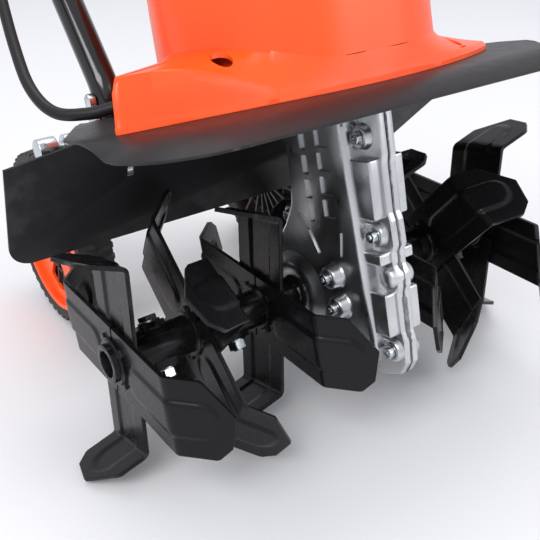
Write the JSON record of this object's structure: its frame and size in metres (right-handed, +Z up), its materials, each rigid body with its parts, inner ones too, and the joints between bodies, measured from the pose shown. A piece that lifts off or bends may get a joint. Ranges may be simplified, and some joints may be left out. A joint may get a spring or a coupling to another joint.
{
  "type": "electric tiller",
  "caption": "Corded electric garden tiller with an orange motor housing, a black sheet guard, six four-blade tine rotors, two wheels and a folding handle.",
  "frame": {"origin": "floor level, on the middle plane and half way along the whole machine", "axes": "+X along the tine shaft to the machine's right, +Y to the handle at the rear, +Z up"},
  "size_m": [0.4496, 0.9354, 1.0412],
  "materials": {
    "tine_steel": "satin black powder coat over steel",
    "tube_black": "gloss black paint",
    "sheet_black": "fine textured dark grey powder coat",
    "zinc": "bright zinc plate",
    "steel": "ground steel",
    "cast_alu": "bare die casting",
    "orange": "fine grained orange plastic",
    "black_plastic": "textured black plastic",
    "rubber": "matt",
    "tyre": "matt",
    "bronze": "machined",
    "copper": "lacquered windings",
    "iron": "laminated",
    "sealant": "matt"
  },
  "bodies": {
    "base": {"gearbox_left": "cast_alu", "gearbox_right": "cast_alu", "gearbox_gasket": "sealant", "gearbox_screws": "zinc", "shaft_bearings": "steel", "shaft_seals": "rubber", "worm_bearings": "steel", "motor_stator": "iron", "brush_holders": "bronze", "motor_cage": "black_plastic", "motor_dome": "orange", "vent_cap": "black_plastic", "base_cover": "orange", "cover_screws": "zinc", "guard_deck": "sheet_black", "rear_apron": "sheet_black", "frame_bolts": "zinc", "chassis_bracket": "tube_black", "bracket_pivot": "zinc", "plunger_sleeve": "zinc", "lower_handle": "tube_black", "cable_lower": "rubber"},
    "tine_assembly": {"tines_outer_left": "tine_steel", "tines_mid_left": "tine_steel", "tines_inner_left": "tine_steel", "tines_inner_right": "tine_steel", "tines_mid_right": "tine_steel", "tines_outer_right": "tine_steel", "hub_outer_left": "tine_steel", "hub_inner_left": "tine_steel", "hub_inner_right": "tine_steel", "hub_outer_right": "tine_steel", "hub_bolts": "zinc", "hub_nuts": "zinc", "tine_shaft": "steel", "shaft_key": "steel", "worm_wheel": "bronze"},
    "motor_rotor": {"worm": "steel", "motor_shaft": "steel", "motor_fan": "black_plastic", "motor_armature": "copper"},
    "wheel_frame": {"wheel_bracket": "tube_black", "wheel_axle": "zinc", "axle_nuts": "zinc"},
    "left_wheel": {"wheel_left": "orange", "tyre_left": "tyre"},
    "right_wheel": {"wheel_right": "orange", "tyre_right": "tyre"},
    "plunger": {"lock_plunger": "zinc", "plunger_spring": "steel"},
    "top_handle": {"upper_handle": "tube_black", "switch_box": "black_plastic", "inlet_plug": "black_plastic", "cable_upper": "rubber", "cable_clips": "black_plastic", "fold_bolts": "zinc"},
    "left_cam": {"cam_lever_left": "orange"},
    "right_cam": {"cam_lever_right": "orange"},
    "bail": {"bail_lever": "orange"},
    "lock_off_button": {"lock_button": "orange"}
  },
  "joints": [
    {"name": "tine_spin", "type": "hinge", "parent": "base", "child": "tine_assembly", "pos_m": [0, -0.3534, 0.10173], "axis": [1, 0, 0], "continuous": true},
    {"name": "motor_spin", "type": "hinge", "parent": "base", "child": "motor_rotor", "pos_m": [0, -0.35569, 0.30787], "axis": [0, 0.2317, 0.9728], "continuous": true},
    {"name": "wheel_frame_tilt", "type": "hinge", "parent": "base", "child": "wheel_frame", "pos_m": [0, -0.18153, 0.17592], "axis": [1, 0, 0], "range_deg": [0, 32]},
    {"name": "left_wheel_spin", "type": "hinge", "parent": "wheel_frame", "child": "left_wheel", "pos_m": [-0.1265, -0.10481, 0.088], "axis": [1, 0, 0], "continuous": true},
    {"name": "right_wheel_spin", "type": "hinge", "parent": "wheel_frame", "child": "right_wheel", "pos_m": [0.1265, -0.10481, 0.088], "axis": [1, 0, 0], "continuous": true},
    {"name": "lock_plunger_slide", "type": "slide", "parent": "base", "child": "plunger", "axis": [1, 0, 0], "range_m": [0, 0.004], "deforming": ["plunger_spring"]},
    {"name": "handle_fold", "type": "hinge", "parent": "base", "child": "top_handle", "pos_m": [0, 0.04294, 0.61495], "axis": [1, 0, 0], "range_deg": [0, 110]},
    {"name": "left_cam_turn", "type": "hinge", "parent": "top_handle", "child": "left_cam", "pos_m": [-0.176, 0.04294, 0.61495], "axis": [1, 0, 0], "range_deg": [0, 90]},
    {"name": "right_cam_turn", "type": "hinge", "parent": "top_handle", "child": "right_cam", "pos_m": [0.176, 0.04294, 0.61495], "axis": [1, 0, 0], "range_deg": [0, 90]},
    {"name": "bail_squeeze", "type": "hinge", "parent": "top_handle", "child": "bail", "pos_m": [0, 0.4346, 0.99487], "axis": [1, 0, 0], "range_deg": [-30, 0], "stiffness_Nm_per_rad": 0.6, "springref_deg": 20.05},
    {"name": "lock_button_press", "type": "slide", "parent": "top_handle", "child": "lock_off_button", "axis": [0, 0.3057, -0.9521], "range_m": [0, 0.004], "stiffness_N_per_m": 250, "springref_m": -0.004}
  ],
  "couplings": [
    {"joint": "motor_spin", "follows": "tine_spin", "ratio": 35}
  ]
}
